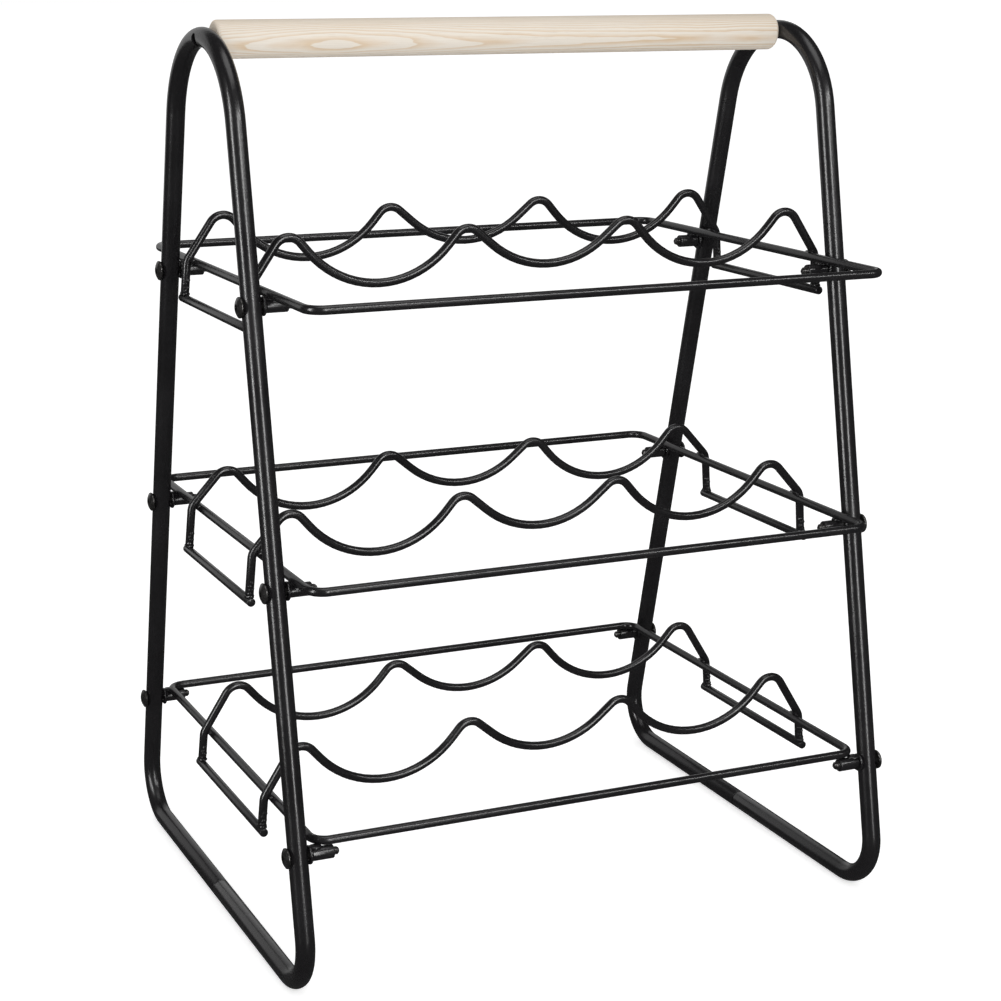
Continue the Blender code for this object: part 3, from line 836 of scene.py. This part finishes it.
def build_welds(shelf, sizes):
    """Weld beads where the waves cross the shelf frame and stand on the rods, and at the sleeves."""
    bm = bmesh.new()
    for end in ENDS:
        lines = WaveLines(shelf, end, sizes)
        wire = lines.wire * 2
        for sign in SIDES.values():
            touch = lines.rail + lines.outward * lines.contact / 2
            turn = Matrix.Rotation(sign * lines.slope, 4, "Y")
            centre = (sign * touch.x, lines.y, touch.y)
            add_bead(bm, centre, (wire * 0.75, wire * 1.75, wire * 0.6), turn)
            foot = (sign * lines.foot.x, lines.y, lines.foot.y)
            add_bead(bm, foot, (wire * 1.12, wire * 1.5, wire * 0.7))
            for lump in range(4):
                place = lines.foot + lines.leg_up * wire * (0.35 + 0.42 * lump)
                zigzag = wire * 0.08 * (-1) ** lump
                add_bead(
                    bm, (sign * (place.x + zigzag), lines.y - wire * 0.26, place.y),
                    (wire * 0.72, wire * 0.66, wire * 0.56))
    for side, sign in SIDES.items():
        for end in ENDS:
            low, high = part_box(f"{shelf}_sleeve_{side}_{end}")
            rail = WaveLines(shelf, end, sizes).rail
            centre = (sign * rail.x, (low.y + high.y) / 2, high.z + sizes.fit_gap / 2)
            add_bead(bm, centre, SLEEVE_BEAD)
    show(bm, f"{shelf}_welds", "powder_coat", crease=80)


# ---- studio -------------------------------------------------------------------------------------

CAMERA_PLACE = (-0.5838, -1.2055, 0.5990)
CAMERA_AZIMUTH = math.radians(-22.39)
CAMERA_ELEVATION = math.radians(15.65)
CAMERA_LENS = 74.34          # millimetres, on the sensor below
CAMERA_SENSOR = 36.0
CAMERA_SHIFT = (0.1217, 0.0411)

WORLD_LIGHT = 0.65
WORLD_IN_GLOSS = 0.05        # how bright the surroundings look in glossy surfaces
FLOOR_GLOW = 0.55            # lifts the floor to white where the camera looks at it
FLOOR_IN_GLOSS = 0.06        # and the floor in them

LIGHT_AIM = (0, 0, 0.28)     # every light faces the middle of the rack
# Name, place, width and height, watts, and whether it shows in gloss.
LIGHTS = (
    ("left_strip", (-1.75, -0.55, 0.75), (0.30, 1.5), 24, True),
    ("front_strip", (0.10, -1.95, 0.75), (0.30, 1.5), 22, True),
    ("top_strip", (0.1, -0.3, 2.1), (1.2, 1.2), 9, True),
    ("rail_bar", (0.88, -1.65, 1.40), (1.2, 0.14), 13, True),
    ("back_wall", (0.0, 2.4, 0.9), (4.0, 2.4), 18, True),
    ("front_fill", (-0.7, -2.1, 1.0), (1.6, 1.6), 21, False),
)


def add_light(name, place, size, watts, seen_in_gloss):
    """A soft box that either draws its streak on glossy surfaces or lights matt ones, not both."""
    light = bpy.data.lights.new(name, "AREA")
    light.shape = "RECTANGLE"
    light.size, light.size_y = size
    light.energy = watts
    lamp = bpy.data.objects.new(name, light)
    lamp.location = place
    lamp.rotation_euler = (Vector(place) - Vector(LIGHT_AIM)).to_track_quat("Z", "Y").to_euler()
    lamp.visible_camera = False
    lamp.visible_glossy = seen_in_gloss
    lamp.visible_diffuse = not seen_in_gloss
    bpy.context.scene.collection.objects.link(lamp)


def build_floor():
    bm = bmesh.new()
    bmesh.ops.create_grid(bm, x_segments=1, y_segments=1, size=30)
    floor = bpy.data.objects.new("studio_floor", to_mesh(bm, "studio_floor"))
    floor.data.materials.append(floor_material(bpy.context.scene.rack_finishes))
    bpy.context.scene.collection.objects.link(floor)


def build_world():
    """White behind the rack, softer as its light, and nearly dark in the gloss of the black coat."""
    world = bpy.data.worlds.new("studio")
    world.use_nodes = True
    tree = world.node_tree
    background = tree.nodes["Background"]
    background.inputs["Color"].default_value = (1.0, 1.0, 1.0, 1.0)
    path = tree.nodes.new("ShaderNodeLightPath")
    dimmed = tree.nodes.new("ShaderNodeMapRange")
    dimmed.inputs["To Min"].default_value = WORLD_LIGHT
    dimmed.inputs["To Max"].default_value = WORLD_IN_GLOSS
    seen = tree.nodes.new("ShaderNodeMath")
    seen.operation = "MAXIMUM"
    tree.links.new(path.outputs["Is Glossy Ray"], dimmed.inputs["Value"])
    tree.links.new(path.outputs["Is Camera Ray"], seen.inputs[0])
    tree.links.new(dimmed.outputs["Result"], seen.inputs[1])
    tree.links.new(seen.outputs["Value"], background.inputs["Strength"])
    bpy.context.scene.world = world


def build_camera():
    camera = bpy.data.cameras.new("studio_camera")
    camera.sensor_width = CAMERA_SENSOR
    camera.lens = CAMERA_LENS
    camera.shift_x, camera.shift_y = CAMERA_SHIFT
    camera.clip_start = 0.05
    camera.clip_end = 100
    stand = bpy.data.objects.new("studio_camera", camera)
    stand.location = CAMERA_PLACE
    stand.rotation_euler = (math.pi / 2 - CAMERA_ELEVATION, 0, CAMERA_AZIMUTH)
    bpy.context.scene.collection.objects.link(stand)
    bpy.context.scene.camera = stand


# ---- operators ----------------------------------------------------------------------------------


class RACK_OT_side_frames(bpy.types.Operator):
    """Bend the two tube side frames and finish the spigots in their seams"""

    bl_idname = "wine_rack.side_frames"
    bl_label = "Side frames"

    def execute(self, context):
        for side in SIDES:
            build_side_frame(side, context.scene.rack_sizes)
            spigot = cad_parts[f"frame_joint_{side}"]
            spigot.material_slots[0].material = finish_of("plain_steel")
        return {"FINISHED"}


class RACK_OT_handle(bpy.types.Operator):
    """Turn the pine handle"""

    bl_idname = "wine_rack.handle"
    bl_label = "Handle"

    def execute(self, context):
        build_handle(context.scene.rack_sizes)
        return {"FINISHED"}


class RACK_OT_shelves(bpy.types.Operator):
    """Bend the three wire shelves: their frames, waves and lower rods"""

    bl_idname = "wine_rack.shelves"
    bl_label = "Wire shelves"

    def execute(self, context):
        sizes = context.scene.rack_sizes
        for shelf in SHELVES:
            build_shelf_frame(shelf, sizes)
            for end in ENDS:
                build_wave(shelf, end, sizes)
            for side in SIDES:
                build_rod(shelf, side)
        return {"FINISHED"}


class RACK_OT_welds(bpy.types.Operator):
    """Lay the weld beads that hold each shelf together"""

    bl_idname = "wine_rack.welds"
    bl_label = "Welds"

    def execute(self, context):
        for shelf in SHELVES:
            build_welds(shelf, context.scene.rack_sizes)
        return {"FINISHED"}


class RACK_OT_fixings(bpy.types.Operator):
    """Make the screws, the sleeves and the washers"""

    bl_idname = "wine_rack.fixings"
    bl_label = "Fixings"

    def execute(self, context):
        build_screws(context.scene.rack_sizes)
        build_rings(context.scene.rack_sizes)
        return {"FINISHED"}


class RACK_OT_stage(bpy.types.Operator):
    """Set up the pale floor, the soft lights and the camera"""

    bl_idname = "wine_rack.stage"
    bl_label = "Studio"

    def execute(self, context):
        build_floor()
        build_world()
        build_camera()
        context.scene.view_settings.view_transform = "Standard"
        for light in LIGHTS:
            add_light(*light)
        return {"FINISHED"}


OPERATORS = (
    RACK_OT_side_frames,
    RACK_OT_handle,
    RACK_OT_shelves,
    RACK_OT_welds,
    RACK_OT_fixings,
    RACK_OT_stage,
)


class RACK_PT_panel(bpy.types.Panel):
    """The rack's pieces, sizes and colours"""

    bl_idname = "RACK_PT_panel"
    bl_label = "Wine Rack"
    bl_space_type = "VIEW_3D"
    bl_region_type = "UI"
    bl_category = "Wine Rack"

    def draw(self, context):
        for operator in OPERATORS:
            self.layout.operator(operator.bl_idname)
        for group in (context.scene.rack_sizes, context.scene.rack_finishes):
            column = self.layout.column()
            for name in group.__annotations__:
                column.prop(group, name)


CLASSES = (RackSizes, RackFinishes, *OPERATORS, RACK_PT_panel)


def register():
    for item in CLASSES:
        bpy.utils.register_class(item)
    bpy.types.Scene.rack_sizes = PointerProperty(type=RackSizes)
    bpy.types.Scene.rack_finishes = PointerProperty(type=RackFinishes)


def unregister():
    del bpy.types.Scene.rack_finishes
    del bpy.types.Scene.rack_sizes
    for item in reversed(CLASSES):
        bpy.utils.unregister_class(item)


def main():
    register()
    bpy.ops.wine_rack.side_frames()
    bpy.ops.wine_rack.handle()
    bpy.ops.wine_rack.shelves()
    bpy.ops.wine_rack.welds()
    bpy.ops.wine_rack.fixings()
    bpy.ops.wine_rack.stage()


if __name__ == "__main__":
    main()
